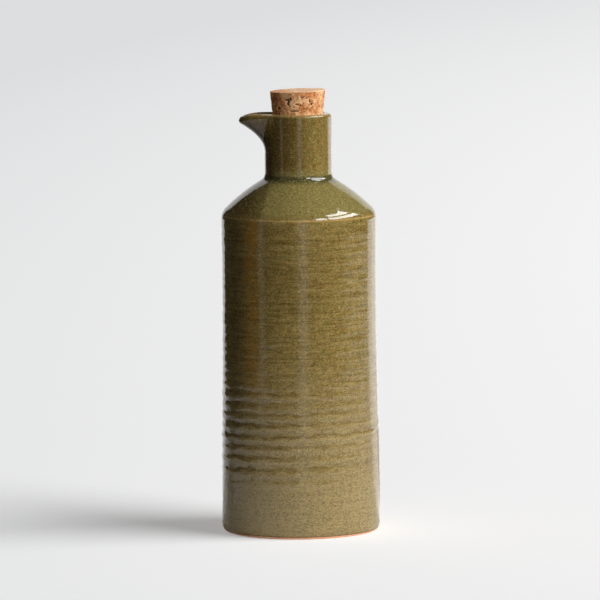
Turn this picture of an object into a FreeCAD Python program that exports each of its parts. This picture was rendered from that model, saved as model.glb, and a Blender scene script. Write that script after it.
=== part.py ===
# Stoneware oil pourer with a tapered cork.
#
# The bottle is one thrown pot: a waisted wall with throwing rings on a bevelled foot, a domed
# shoulder, a straight neck, and a lip that was pulled out by hand into a narrow pouring beak
# while the clay was soft. The cork sits in a conical seat just inside the lip.
#
# Lengths are millimetres and angles degrees. +Z is up, the origin is the middle of the foot on
# the surface it stands on, and the beak points along -X.

import FreeCAD
import Part

import math
import os

import Sketcher

Vector = FreeCAD.Vector

# Where a constraint holds a piece of a sketch, and the sketch's own origin.
START = 1
END = 2
ORIGIN = (-1, 1)

BOTTLE_NODE = "stoneware_bottle"
CORK_NODE = "cork_stopper"

# Driving dimensions: the alias of the cell, its value, and what it measures.
SIZES = [
    ("body_radius", 39.6, "outer radius of the wall just above the foot"),
    ("foot_tuck", 1.2, "how far the foot is drawn in under the wall"),
    ("foot_bevel_height", 4.0, "height at which the foot bevel runs into the wall"),
    ("foot_ring_width", 6.0, "width of the ring that touches the table"),
    ("foot_recess", 1.2, "depth of the hollow turned under the base"),
    ("belly_height", 20.0, "height up to which the wall keeps its full radius"),
    ("waist_tuck", 1.15, "how much slimmer the wall is at the waist, over the radius"),
    ("shoulder_tuck", 0.92, "how much slimmer the wall is at the shoulder, over the radius"),
    ("waist_below_edge", 31.6, "from the waist up to the edge of the shoulder"),
    ("wall_height", 156.6, "height at which the wall turns into the shoulder"),
    ("edge_radius", 7.7, "rounding between wall and shoulder"),
    ("dome_radius", 94.0, "arc of the shoulder"),
    ("shoulder_rise", 22.5, "from the top of the wall to the foot of the neck"),
    ("neck_root_radius", 3.8, "hollow rounding at the foot of the neck"),
    ("neck_length", 29.9, "from the foot of the neck to the rim"),
    ("wall", 4.4, "thickness of the wall and the shoulder"),
    ("base_thickness", 6.0, "thickness of the clay under the floor"),
    ("floor_corner", 9.0, "rounding between floor and inner wall"),
    ("bore_rounding", 6.0, "rounding where the shoulder opens into the neck"),
    ("ring_pitch", 5.5, "height between two throwing rings"),
    ("ring_depth", 0.3, "depth of the finger grooves between the rings"),
    ("rings_below_edge", 64.6, "from the highest ring up to the edge of the shoulder"),
    ("lip_wall", 3.95, "thickness of the clay at the mouth"),
    ("rim_rounding", 1.4, "rounding of the rim, inside and out"),
    ("spout_depth", 19.0, "how far below the rim the pull of the beak begins"),
    ("spout_pull", 14.4, "how far the rim was pulled out at the beak"),
    ("spout_spread", 16.8, "half angle of the neck that the pull reaches"),
    ("spout_droop", 2.5, "how far the tip of the beak hangs below the rim"),
    ("droop_spread", 9.5, "half angle of the drooping tip"),
    ("spout_thinning", 0.04, "share of its thickness that the tip lost in the pull"),
    ("cork_top_radius", 13.85, "radius of the cork at its top"),
    ("cork_taper", 6.4, "slope of the cork's side"),
    ("cork_length", 32.0, "length of the cork"),
    ("cork_rise", 11.5, "how far the cork stands above the rim"),
    ("cork_slant", 1.9, "slope of the cork's cut top"),
    ("cork_edge", 0.5, "bevel rubbed on the cork's edges"),
    ("cork_clearance", 0.25, "gap between the cork and its seat, over the radius"),
    ("seat_depth", 7.0, "how far the conical seat goes down from the rim"),
]

# How far apart two edges may lie and still be joined as one.
SEAM_TOLERANCE = 0.001

# How finely the curved skin of the lip is drawn: places round the mouth, and how much closer
# they stand at the beak than at the back.
LIP_PLACES = 48
BEAK_CROWDING = 0.6

document = FreeCAD.newDocument("oil_pourer")
sheet = document.addObject("Spreadsheet::Sheet", "sizes")
for row, (alias, value, meaning) in enumerate(SIZES, start=1):
    sheet.set(f"A{row}", alias)
    sheet.set(f"B{row}", str(value))
    sheet.set(f"C{row}", meaning)
    sheet.setAlias(f"B{row}", alias)
document.recompute()


def size(alias):
    """The value of one driving dimension."""
    return float(sheet.get(alias))


# ---------------------------------------------------------------- helpers for sketches


def origin_plane(body, role):
    """One of the three planes at the origin of a body."""
    for feature in body.Origin.OriginFeatures:
        if feature.Role == role:
            return feature
    raise LookupError(role)


def section_sketch(body, name):
    """An empty sketch on the upright plane through the axis: x is the radius, y the height."""
    sketch = body.newObject("Sketcher::SketchObject", name)
    sketch.AttachmentSupport = (origin_plane(body, "XZ_Plane"), [""])
    sketch.MapMode = "FlatFace"
    return sketch


def line(start, end):
    return Part.LineSegment(Vector(start[0], start[1], 0), Vector(end[0], end[1], 0))


def arc(centre, start, end, turn):
    """An arc about centre from start to end. turn is 1 for anticlockwise, -1 for clockwise."""
    radius = math.dist(centre, start)
    first = math.atan2(start[1] - centre[1], start[0] - centre[0])
    last = math.atan2(end[1] - centre[1], end[0] - centre[0])
    if turn < 0:
        first, last = last, first
    circle = Part.Circle(Vector(centre[0], centre[1], 0), Vector(0, 0, 1), radius)
    return Part.ArcOfCircle(circle, first, last)


def add_outline(sketch, pieces):
    """Add (name, curve, turn) pieces end to end as a closed outline; gives back name: index."""
    index = {}
    ends = []
    for name, curve, turn in pieces:
        index[name] = sketch.addGeometry(curve, False)
        ends.append((index[name], START, END) if turn >= 0 else (index[name], END, START))
    for (here, _, end), (after, start, _) in zip(ends, ends[1:] + ends[:1]):
        sketch.addConstraint(Sketcher.Constraint("Coincident", here, end, after, start))
    return index


def bind(sketch, kind, where, name, value, formula):
    """Add a dimension to a sketch and tie it to the spreadsheet."""
    number = sketch.addConstraint(Sketcher.Constraint(kind, *where, value))
    sketch.renameConstraint(number, name)
    sketch.setExpression(f"Constraints.{name}", formula)


def revolve(body, sketch, name):
    """Spin a section about the upright axis of its sketch."""
    feature = body.newObject("PartDesign::Revolution", name)
    feature.Profile = sketch
    feature.ReferenceAxis = (sketch, ["V_Axis"])
    feature.Angle = 360.0
    sketch.Visibility = False
    document.recompute()
    return feature


# ---------------------------------------------------------------- the lines of the bottle


def neck_root_height():
    return size("wall_height") + size("shoulder_rise")


def foot_radius():
    return size("body_radius") - size("foot_tuck")


def shoulder_radius():
    return size("body_radius") - size("shoulder_tuck")


def rim_height():
    return neck_root_height() + size("neck_length")


def spout_root_height():
    return rim_height() - size("spout_depth")


def cork_radius(height):
    """Radius of the cork at a height above the table."""
    below_top = rim_height() + size("cork_rise") - height
    return size("cork_top_radius") - below_top * math.tan(math.radians(size("cork_taper")))


def seat_radius(height):
    return cork_radius(height) + size("cork_clearance")


def bore_radius():
    return seat_radius(rim_height() - size("seat_depth"))


def neck_radius():
    return seat_radius(rim_height()) + size("lip_wall")


def crossing(centre_a, radius_a, centre_b, radius_b):
    """The lower of the two points where two circles cross."""
    gap = math.dist(centre_a, centre_b)
    along = (gap**2 + radius_a**2 - radius_b**2) / (2 * gap)
    aside = math.sqrt(radius_a**2 - along**2)
    unit = ((centre_b[0] - centre_a[0]) / gap, (centre_b[1] - centre_a[1]) / gap)
    middle = (centre_a[0] + along * unit[0], centre_a[1] + along * unit[1])
    left = (middle[0] - aside * unit[1], middle[1] + aside * unit[0])
    right = (middle[0] + aside * unit[1], middle[1] - aside * unit[0])
    return min(left, right, key=lambda point: point[1])


def toward(centre, target, distance):
    """The point at a distance from centre in the direction of target."""
    gap = math.dist(centre, target)
    return (
        centre[0] + (target[0] - centre[0]) * distance / gap,
        centre[1] + (target[1] - centre[1]) * distance / gap,
    )


def ease(part):
    """A soft step from 0 to 1."""
    part = min(max(part, 0.0), 1.0)
    return 0.5 - 0.5 * math.cos(math.pi * part)


def wall_radius(height):
    """Outside of the wall, without its rings: it narrows to the waist and opens again."""
    waist_height = size("wall_height") - size("waist_below_edge")
    waist = size("body_radius") - size("waist_tuck")
    if height < waist_height:
        rise = waist_height - size("belly_height")
        return waist + size("waist_tuck") * ease((waist_height - height) / rise)
    opening = shoulder_radius() - waist
    return waist + opening * ease((height - waist_height) / size("waist_below_edge"))


def ring_top():
    return size("wall_height") - size("rings_below_edge")


def groove_depth(height):
    """The finger grooves start above the foot and fade out towards the upper half of the wall."""
    begin = ease((height - size("foot_bevel_height")) / (3 * size("ring_pitch")))
    fade = ease((ring_top() - height) / (4 * size("ring_pitch")))
    return size("ring_depth") * begin * fade


def ringed_wall():
    """The lower line of the wall: crests on the wall line, finger grooves halfway between."""
    bottom = size("foot_bevel_height")
    rise = ring_top() - bottom
    steps = 2 * round(rise / size("ring_pitch"))
    points = []
    for step in range(steps + 1):
        height = bottom + rise * step / steps
        groove = groove_depth(height) if step % 2 else 0.0
        points.append(Vector(wall_radius(height) - groove, height, 0))
    curve = Part.BSplineCurve()
    upright = Vector(0, 1, 0)
    curve.interpolate(Points=points, InitialTangent=upright, FinalTangent=upright)
    return curve


def plain_wall():
    """The upper line of the wall, a long shallow arc over the waist."""
    heights = (ring_top(), (ring_top() + size("wall_height")) / 2, size("wall_height"))
    return Part.Arc(*[Vector(wall_radius(height), height, 0) for height in heights])


# ---------------------------------------------------------------- the thrown wall


def thrown_wall():
    """Foot, wall, shoulder and the lower neck, spun from one section of even thickness."""
    foot = foot_radius()
    body_radius = size("body_radius")
    bevel_top = size("foot_bevel_height")
    recess = size("foot_recess")
    recess_radius = foot - size("foot_ring_width")
    wall_top = size("wall_height")
    edge = size("edge_radius")
    dome = size("dome_radius")
    root = size("neck_root_radius")
    wall = size("wall")
    neck = neck_radius()
    bore = bore_radius()
    cut = spout_root_height()

    lean = body_radius - foot
    bevel = (bevel_top**2 + lean**2) / (2 * lean)
    bevel_centre = (body_radius - bevel, bevel_top)

    shoulder = shoulder_radius()
    edge_centre = (shoulder - edge, wall_top)
    root_centre = (neck + root, neck_root_height())
    dome_centre = crossing(edge_centre, dome - edge, root_centre, dome + root)
    edge_to_dome = toward(dome_centre, edge_centre, dome)
    dome_to_root = toward(dome_centre, root_centre, dome)

    inner_dome = dome - wall
    inner_wall = shoulder - wall
    inner_edge_to_dome = toward(dome_centre, edge_centre, inner_dome)
    round_off = size("bore_rounding")
    reach = inner_dome + round_off
    round_x = bore + round_off
    round_z = dome_centre[1] + math.sqrt(reach**2 - (round_x - dome_centre[0]) ** 2)
    round_centre = (round_x, round_z)
    dome_to_round = toward(dome_centre, round_centre, inner_dome)

    floor = recess + size("base_thickness")
    corner = size("floor_corner")
    corner_centre = (inner_wall - corner, floor + corner)
    corner_top = (inner_wall, corner_centre[1])
    corner_foot = (corner_centre[0], floor)

    body = document.addObject("PartDesign::Body", "thrown_wall")
    sketch = section_sketch(body, "wall_section")
    part = add_outline(
        sketch,
        [
            ("base", line((0, recess), (recess_radius, recess)), 1),
            ("recess_side", line((recess_radius, recess), (recess_radius + recess, 0)), 1),
            ("foot_ring", line((recess_radius + recess, 0), (foot, 0)), 1),
            ("bevel", arc(bevel_centre, (foot, 0), (body_radius, bevel_top), 1), 1),
            ("ringed_wall", ringed_wall(), 1),
            ("plain_wall", plain_wall(), -1),
            ("edge", arc(edge_centre, (shoulder, wall_top), edge_to_dome, 1), 1),
            ("dome", arc(dome_centre, edge_to_dome, dome_to_root, 1), 1),
            ("root", arc(root_centre, dome_to_root, (neck, root_centre[1]), -1), -1),
            ("neck", line((neck, root_centre[1]), (neck, cut)), 1),
            ("top", line((neck, cut), (bore, cut)), 1),
            ("bore", line((bore, cut), (bore, round_z)), 1),
            ("round", arc(round_centre, (bore, round_z), dome_to_round, 1), 1),
            ("inner_dome", arc(dome_centre, dome_to_round, inner_edge_to_dome, -1), -1),
            ("inner_edge", arc(edge_centre, inner_edge_to_dome, (inner_wall, wall_top), -1), -1),
            ("inner_wall", line((inner_wall, wall_top), corner_top), 1),
            ("corner", arc(corner_centre, corner_top, corner_foot, -1), -1),
            ("floor", line(corner_foot, (0, floor)), 1),
            ("axis", line((0, floor), (0, recess)), 1),
        ],
    )
    for name in ("base", "foot_ring", "top", "floor"):
        sketch.addConstraint(Sketcher.Constraint("Horizontal", part[name]))
    for name in ("neck", "bore", "inner_wall", "axis"):
        sketch.addConstraint(Sketcher.Constraint("Vertical", part[name]))

    def radius(name, value, formula):
        bind(sketch, "Radius", (part[name],), f"{name}_radius", value, formula)

    def across(name, point, value, formula):
        where = (*ORIGIN, part[name], point)
        bind(sketch, "DistanceX", where, f"{name}_across", value, formula)

    def height(name, point, value, formula):
        where = (*ORIGIN, part[name], point)
        bind(sketch, "DistanceY", where, f"{name}_height", value, formula)

    foot_formula = "sizes.body_radius - sizes.foot_tuck"
    shoulder_formula = "sizes.body_radius - sizes.shoulder_tuck"
    across("foot_ring", END, foot, foot_formula)
    across("recess_side", START, recess_radius, f"{foot_formula} - sizes.foot_ring_width")
    height("base", END, recess, "sizes.foot_recess")
    across("ringed_wall", START, body_radius, "sizes.body_radius")
    height("ringed_wall", START, bevel_top, "sizes.foot_bevel_height")
    height("plain_wall", END, ring_top(), "sizes.wall_height - sizes.rings_below_edge")
    across("edge", START, shoulder, shoulder_formula)
    height("edge", START, wall_top, "sizes.wall_height")
    radius("edge", edge, "sizes.edge_radius")
    radius("dome", dome, "sizes.dome_radius")
    radius("root", root, "sizes.neck_root_radius")
    height("neck", START, neck_root_height(), "sizes.wall_height + sizes.shoulder_rise")
    radius("inner_dome", inner_dome, "sizes.dome_radius - sizes.wall")
    radius("inner_edge", edge - wall, "sizes.edge_radius - sizes.wall")
    across("inner_wall", START, inner_wall, f"{shoulder_formula} - sizes.wall")
    radius("round", round_off, "sizes.bore_rounding")
    radius("corner", corner, "sizes.floor_corner")
    height("floor", START, floor, "sizes.foot_recess + sizes.base_thickness")
    revolve(body, sketch, "wall_of_revolution")
    return body


# ---------------------------------------------------------------- the pulled lip


def between(start, end, steps):
    """Evenly spaced points from start to end, both included."""
    shares = [step / steps for step in range(steps + 1)]
    return [
        (start[0] + (end[0] - start[0]) * share, start[1] + (end[1] - start[1]) * share)
        for share in shares
    ]


def lip_section():
    """The wall of the lip before the pull, as (radius, height) points: up the outside of the
    neck, over the rim, down the conical seat of the cork and on down the bore."""
    outside = neck_radius()
    bore = bore_radius()
    rounding = size("rim_rounding")
    rim = rim_height()
    shoulder = rim - rounding
    bottom = spout_root_height()
    mouth = seat_radius(shoulder)
    seat_end = rim - size("seat_depth")
    quarter = [math.radians(angle) for angle in (0, 22.5, 45, 67.5, 90)]
    rounded = [(rounding * (1 - math.cos(turn)), rounding * math.sin(turn)) for turn in quarter]

    points = between((outside, bottom), (outside, shoulder), 8)[:-1]
    points += [(outside - inward, shoulder + up) for inward, up in rounded]
    points += [(mouth + outward, shoulder + up) for outward, up in reversed(rounded)]
    points += between((mouth, shoulder), (bore, seat_end), 3)[1:]
    points += between((bore, seat_end), (bore, bottom), 4)[1:]
    return points


def bell(turn, spread):
    """How strongly the pull is felt at an angle from the beak."""
    return math.exp(-0.5 * (turn / math.radians(spread)) ** 2)


def pulled(turn, radius, height):
    """Where the pull takes a point of the lip. turn is its angle from the beak at -X."""
    middle = (neck_radius() + seat_radius(rim_height())) / 2
    root = spout_root_height()
    share = (height - root) / size("spout_depth")

    def sheet_point(angle, rise):
        """The middle of the clay: it is drawn out as a widening curve and hangs at the tip."""
        out = middle + size("spout_pull") * bell(angle, size("spout_spread")) * rise**2
        droop = size("spout_droop") * bell(angle, size("droop_spread")) * rise**1.3
        up = root + size("spout_depth") * rise - droop
        return Vector(-out * math.cos(angle), out * math.sin(angle), up)

    if share <= 0.0:
        return Vector(-radius * math.cos(turn), radius * math.sin(turn), height)
    nudge = 1e-4
    around = sheet_point(turn + nudge, share) - sheet_point(turn - nudge, share)
    upward = sheet_point(turn, share + nudge) - sheet_point(turn, max(share - nudge, 0.0))
    outward = upward.cross(around).normalize()
    thickness = 1.0 - size("spout_thinning") * bell(turn, size("spout_spread")) * share
    return sheet_point(turn, share) + outward * ((radius - middle) * thickness)


def lip_ring(radius, height):
    """A closed curve round the mouth, drawn through places that crowd together at the beak."""
    steps = [2 * place / LIP_PLACES - 1 for place in range(LIP_PLACES + 1)]
    turns = [math.pi * ((1 - BEAK_CROWDING) * step + BEAK_CROWDING * step**3) for step in steps]
    ring = Part.BSplineCurve()
    ring.interpolate(
        Points=[pulled(turn, radius, height) for turn in turns[:-1]],
        PeriodicFlag=True,
        Parameters=steps,
    )
    return ring


def pulled_lip():
    """The mouth of the bottle: one skin from the neck over the rim and down the seat, closed
    below by the flat ring that stands on the thrown neck."""
    section = lip_section()
    rings = [lip_ring(radius, height) for radius, height in section]
    lengths = [0.0]
    for before, after in zip(section, section[1:]):
        lengths.append(lengths[-1] + math.dist(before, after))
    columns = []
    for poles in zip(*[ring.getPoles() for ring in rings]):
        column = Part.BSplineCurve()
        column.interpolate(Points=list(poles), PeriodicFlag=False, Parameters=lengths)
        columns.append(column)
    surface = Part.BSplineSurface()
    surface.buildFromPolesMultsKnots(
        [column.getPoles() for column in columns],
        rings[0].getMultiplicities(),
        columns[0].getMultiplicities(),
        rings[0].getKnots(),
        columns[0].getKnots(),
        True,
        False,
        3,
        3,
    )
    skin = surface.toShape()
    circles = [edge for edge in skin.Edges if edge.BoundBox.ZLength < SEAM_TOLERANCE]
    circles.sort(key=lambda edge: edge.Length, reverse=True)
    underside = Part.Face([Part.Wire([circle]) for circle in circles])
    solid = Part.Solid(Part.makeShell([skin, underside]))
    solid.fix(SEAM_TOLERANCE, SEAM_TOLERANCE, SEAM_TOLERANCE)
    lip = document.addObject("Part::Feature", "pulled_lip")
    lip.Shape = solid
    return lip


# ---------------------------------------------------------------- the two pieces


def stoneware_bottle():
    """The thrown wall and the pulled lip are one piece of clay, joined where the pull begins."""
    wall = thrown_wall()
    lip = pulled_lip()
    joined = wall.Shape.Solids[0].fuse([lip.Shape], SEAM_TOLERANCE)
    if len(joined.Solids) != 1:
        raise RuntimeError("the lip did not join the wall")
    bottle = document.addObject("Part::Feature", BOTTLE_NODE)
    bottle.Shape = joined.Solids[0]
    return bottle


def cork_stopper():
    """A tapered cork: a turned blank, its top cut at a slight slant, and its edges rubbed off."""
    top = size("cork_top_radius")
    length = size("cork_length")
    taper = math.tan(math.radians(size("cork_taper")))
    slant = math.tan(math.radians(size("cork_slant")))
    spare = 2 * top * slant
    blank_top = length + spare
    blank_radius = top + spare * taper
    bottom = top - length * taper

    body = document.addObject("PartDesign::Body", CORK_NODE)
    body.Label = CORK_NODE
    blank = section_sketch(body, "cork_section")
    side = add_outline(
        blank,
        [
            ("bottom", line((0, 0), (bottom, 0)), 1),
            ("side", line((bottom, 0), (blank_radius, blank_top)), 1),
            ("top", line((blank_radius, blank_top), (0, blank_top)), 1),
            ("axis", line((0, blank_top), (0, 0)), 1),
        ],
    )
    blank.addConstraint(Sketcher.Constraint("Horizontal", side["bottom"]))
    blank.addConstraint(Sketcher.Constraint("Horizontal", side["top"]))
    blank.addConstraint(Sketcher.Constraint("Vertical", side["axis"]))
    blank.addConstraint(Sketcher.Constraint("Coincident", side["bottom"], START, *ORIGIN))
    taper_formula = "tan(sizes.cork_taper * 1 deg)"
    spare_formula = "2 * sizes.cork_top_radius * tan(sizes.cork_slant * 1 deg)"
    bind(
        blank,
        "DistanceX",
        (*ORIGIN, side["bottom"], END),
        "bottom_radius",
        bottom,
        f"sizes.cork_top_radius - sizes.cork_length * {taper_formula}",
    )
    bind(
        blank,
        "DistanceX",
        (*ORIGIN, side["side"], END),
        "blank_radius",
        blank_radius,
        f"sizes.cork_top_radius + {spare_formula} * {taper_formula}",
    )
    bind(
        blank,
        "DistanceY",
        (*ORIGIN, side["side"], END),
        "blank_length",
        blank_top,
        f"sizes.cork_length + {spare_formula}",
    )
    revolve(body, blank, "cork_blank")
    blank_volume = body.Shape.Volume

    reach = 2 * blank_radius
    low = length - reach * slant
    high = length + reach * slant
    cut = section_sketch(body, "slant_section")
    offcut = add_outline(
        cut,
        [
            ("slant", line((-reach, low), (reach, high)), 1),
            ("far", line((reach, high), (reach, high + reach)), 1),
            ("over", line((reach, high + reach), (-reach, high + reach)), 1),
            ("near", line((-reach, high + reach), (-reach, low)), 1),
        ],
    )
    cut.addConstraint(Sketcher.Constraint("Vertical", offcut["far"]))
    cut.addConstraint(Sketcher.Constraint("Vertical", offcut["near"]))
    cut.addConstraint(Sketcher.Constraint("Horizontal", offcut["over"]))
    reach_formula = f"2 * (sizes.cork_top_radius + {spare_formula} * {taper_formula})"
    drop_formula = f"{reach_formula} * tan(sizes.cork_slant * 1 deg)"
    bind(cut, "DistanceX", (offcut["slant"], START, *ORIGIN), "reach_left", reach, reach_formula)
    bind(cut, "DistanceX", (*ORIGIN, offcut["slant"], END), "reach_right", reach, reach_formula)
    bind(
        cut,
        "DistanceY",
        (*ORIGIN, offcut["slant"], START),
        "low_side",
        low,
        f"sizes.cork_length - {drop_formula}",
    )
    bind(
        cut,
        "DistanceY",
        (*ORIGIN, offcut["slant"], END),
        "high_side",
        high,
        f"sizes.cork_length + {drop_formula}",
    )
    pocket = body.newObject("PartDesign::Pocket", "slanted_top")
    pocket.Profile = cut
    pocket.Type = "ThroughAll"
    pocket.Midplane = True
    cut.Visibility = False
    document.recompute()
    if body.Shape.Volume >= blank_volume:
        raise RuntimeError("the slanted cut took nothing off the cork")

    edges = enumerate(pocket.Shape.Edges, start=1)
    rims = [f"Edge{number}" for number, edge in edges if edge.isClosed()]
    rubbed = body.newObject("PartDesign::Chamfer", "rubbed_edges")
    rubbed.Base = (pocket, rims)
    rubbed.setExpression("Size", "sizes.cork_edge")
    pocket.Visibility = False
    rim_formula = "sizes.wall_height + sizes.shoulder_rise + sizes.neck_length"
    body.setExpression("Placement.Base.z", f"{rim_formula} + sizes.cork_rise - sizes.cork_length")
    return body


def check(subparts):
    """Stop if any object failed or a sub-part has no sound shape."""
    for item in document.Objects:
        if "Invalid" in item.State or "Error" in item.State:
            raise RuntimeError(f"{item.Name} did not build: {item.State}")
    for subpart in subparts:
        if subpart.Shape.isNull() or not subpart.Shape.isValid():
            raise RuntimeError(f"{subpart.Label} has no sound shape")
        if len(subpart.Shape.Solids) != 1:
            raise RuntimeError(f"{subpart.Label} is not one solid")


subparts = [stoneware_bottle(), cork_stopper()]
document.recompute()
check(subparts)
os.makedirs("parts", exist_ok=True)
for subpart in subparts:
    subpart.Shape.exportStep(f"parts/{subpart.Label}.step")
    print(subpart.Label, f"{subpart.Shape.Volume / 1000:.1f} cm3")
print(f"rim at {rim_height():.1f} mm")
print(f"neck radius {neck_radius():.2f} mm, bore radius {bore_radius():.2f} mm")
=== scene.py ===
import math

import bpy
import numpy as np
from mathutils import Matrix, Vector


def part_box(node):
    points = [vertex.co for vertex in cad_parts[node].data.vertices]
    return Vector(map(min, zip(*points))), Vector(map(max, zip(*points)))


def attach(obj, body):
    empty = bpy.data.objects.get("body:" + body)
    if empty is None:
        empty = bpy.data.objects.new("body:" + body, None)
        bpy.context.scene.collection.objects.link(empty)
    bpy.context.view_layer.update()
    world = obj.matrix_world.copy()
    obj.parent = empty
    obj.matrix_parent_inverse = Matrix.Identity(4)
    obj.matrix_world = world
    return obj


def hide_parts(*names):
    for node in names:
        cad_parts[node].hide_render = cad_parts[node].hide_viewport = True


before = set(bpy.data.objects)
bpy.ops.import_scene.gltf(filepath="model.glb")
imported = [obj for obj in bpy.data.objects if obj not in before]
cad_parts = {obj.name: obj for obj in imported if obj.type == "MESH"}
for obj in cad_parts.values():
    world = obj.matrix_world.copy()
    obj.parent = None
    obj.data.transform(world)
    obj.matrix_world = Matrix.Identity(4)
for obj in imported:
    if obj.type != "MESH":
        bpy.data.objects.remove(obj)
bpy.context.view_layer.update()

MM = 0.001
TURN = 2 * math.pi

# ------------------------------------------------------------------ sizes, in millimetres

BOTTLE_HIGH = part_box("stoneware_bottle")[1]
CORK_LOW, CORK_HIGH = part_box("cork_stopper")

# The boxes reach past the rim and past the middle of the cork's top, because the pulled lip
# rises a little at the back and the cork's top slants.
LIP_RISE = 0.2
SLANT_RISE = 0.45

BODY_RADIUS = BOTTLE_HIGH.y / MM
RIM_HEIGHT = BOTTLE_HIGH.z / MM - LIP_RISE
CORK_TOP = CORK_HIGH.z / MM - SLANT_RISE
CORK_BOTTOM = CORK_LOW.z / MM
CORK_TOP_RADIUS = 13.85
CORK_TAPER = math.tan(math.radians(6.4))
CORK_SLANT = math.tan(math.radians(1.9))
CORK_EDGE = 0.45
CORK_SKIN = 0.6

FOOT_TUCK = 1.2
FOOT_BEVEL = 4.0
FOOT_RING = 6.0
FOOT_RECESS = 1.2
FOOT_ROUNDING = 0.5
RECESS_ROUNDING = 0.8
BELLY_HEIGHT = 20.0
WAIST_TUCK = 1.15
WAIST_HEIGHT = 125.0
SHOULDER_TUCK = 0.92
WALL_TOP = 156.6
EDGE_RADIUS = 7.7
DOME_RADIUS = 94.0
NECK_ROOT_HEIGHT = WALL_TOP + 22.5
NECK_ROOT_RADIUS = 3.8
NECK_RADIUS = 16.76
WALL = 4.4
FLOOR_HEIGHT = 7.2
FLOOR_CORNER = 9.0
BORE_ROUNDING = 6.0
SEAT_DEPTH = 7.0
CORK_GAP = 0.25
RIM_ROUNDING = 1.4

SPOUT_DEPTH = 19.0
SPOUT_ROOT = RIM_HEIGHT - SPOUT_DEPTH
SPOUT_PULL = 14.4
SPOUT_SPREAD = math.radians(16.8)
SPOUT_CURVE = 2
SPOUT_DROOP = 2.5
DROOP_SPREAD = math.radians(9.5)
DROOP_CURVE = 1.3
SPOUT_THINNING = 0.04

# The throwing rings, as (height of the crest on the front of the bottle, strength). Higher up
# they are faint and even.
RINGS = (
    (0.0, 0.0), (5.0, 0.0), (10.0, 0.1), (14.8, 0.2), (21.0, 0.2), (27.0, 0.3), (32.4, 0.6),
    (38.8, 1.0), (44.3, 0.7), (49.4, 1.2), (55.0, 0.85), (60.5, 0.85), (65.0, 0.6), (70.8, 0.75),
    (75.8, 0.5), (79.8, 0.3), (83.2, 0.3), (87.8, 0.3), (92.2, 0.35), (97.2, 0.4), (101.6, 0.25),
)
FAINT_RISE = 4.4
FAINT_RING = 0.28
RING_DEPTH = 0.27
RING_SHARPNESS = 1.8
RING_MIDDLE = 0.42
RING_FADE = 5.0

# The wall's unevenness dies away towards the foot, and is held in a little to keep its size.
FOOT_FADE = 8.0
HELD_IN = 0.02

# Pores of the cork, as (angle from the front to the right in degrees, height below the top edge,
# half length round the cork, half height, depth). Small ones are strewn elsewhere, outside an
# angle from the front, in radians, or below a depth.
CORK_PORES = (
    (-21, 5.0, 0.6, 2.0, 0.8),
    (-27, 4.0, 0.9, 0.5, 0.6),
    (-16, 3.4, 0.5, 0.9, 0.6),
    (-30, 7.0, 0.7, 0.4, 0.4),
    (-42, 3.2, 0.6, 0.7, 0.5),
    (-2, 6.2, 1.4, 0.35, 0.5),
    (4, 7.0, 1.0, 0.35, 0.5),
    (-7, 9.6, 2.2, 0.4, 0.6),
    (10, 2.6, 1.0, 0.35, 0.4),
    (19, 3.2, 0.7, 0.3, 0.4),
    (27, 4.6, 0.35, 1.2, 0.6),
    (31, 6.4, 0.5, 0.6, 0.5),
    (15, 8.4, 0.8, 0.5, 0.4),
    (-48, 8.4, 0.9, 0.5, 0.5),
    (38, 2.2, 0.4, 0.4, 0.3),
)
FRONT_ANGLE = 1.0
FRONT_DEPTH = 11
STREWN_PORES = 90
STREWN_DROPS = (1.2, 31)
STREWN_WIDTHS = (0.3, 1.5)
STREWN_HEIGHTS = (0.25, 0.6)
STREWN_DEPTHS = (0.2, 0.6)
PORE_SHARPNESS = 1.4
DARK_PORE = 0.45
TOP_PITS = 34
TOP_PIT_MARGIN = 1.5
TOP_PIT_STRETCH = 1.6
TOP_PIT_SIZE = 0.45
TOP_PIT_DEPTH = 0.3
CRUMBS = 0.05
RUBBED_OFF = 0.06

LUMP_SPREAD = (0.7, 1.6)
COLUMNS = 192
WALL_ROW = 0.7
BEAK_CROWDING = 0.5
NUDGE = 1e-4
TINY = 1e-6


# ------------------------------------------------------------------ the room, in metres and degrees

FLOOR_SIZE = 16.0
FLOOR_PLACE = (0, 1.0, 0)
TABLE_SIZE = (1.6, 1.6)
TABLE_PLACE = (0.72, 0.47, -0.0002)
GLOSSY_TABLE_PLACE = (0.45, 0.47, -0.0001)
BACKDROP_SIZE = (2.29, 2.0)
BACKDROP_PLACE = (0.075, 2.3, 1.0)
BACKDROP_GLOW = 0.9
LEVEL = (0, 0, 0)
UPRIGHT = (90, 0, 0)
BLACK = (0, 0, 0, 1)
DIM_ROOM = (0.02, 0.02, 0.02, 1)
PALE_WALL = (0.7476, 0.7505, 0.759, 1)

# Azimuths go from the camera's side towards the right.

# The lit table behind the pot, as (first azimuth, last azimuth, reach, glow). Each wedge lies a
# hair below the table, the far-reaching ones lowest.
WEDGE_DROP = 0.00003
WEDGE_DROP_PER_REACH = 0.00001
TABLE_LIGHT = (
    (124, 148, 6.0, 1.7), (148, 163, 6.0, 1.3), (163, 180, 2.4, 1.2), (180, 213, 2.4, 1.02),
    (138, 148, 0.75, 1.3), (148, 163, 0.75, 1.1), (163, 180, 0.75, 1.3), (213, 220, 0.75, 0.8),
    (124, 138, 0.42, 1.25), (138, 148, 0.42, 1.15), (148, 163, 0.42, 0.55),
    (163, 180, 0.42, 0.85), (220, 236, 0.42, 0.5), (236, 255, 0.36, 0.25),
)

# Faint upright strips of light in front of the pot, as (azimuth, width, glow).
STRIPS = ((-58, 0.34, 0.5), (5, 0.55, 1.0))
STRIP_DISTANCE = 1.2
STRIP_MIDDLE = 0.5
STRIP_LENGTH = 1.4

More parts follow.
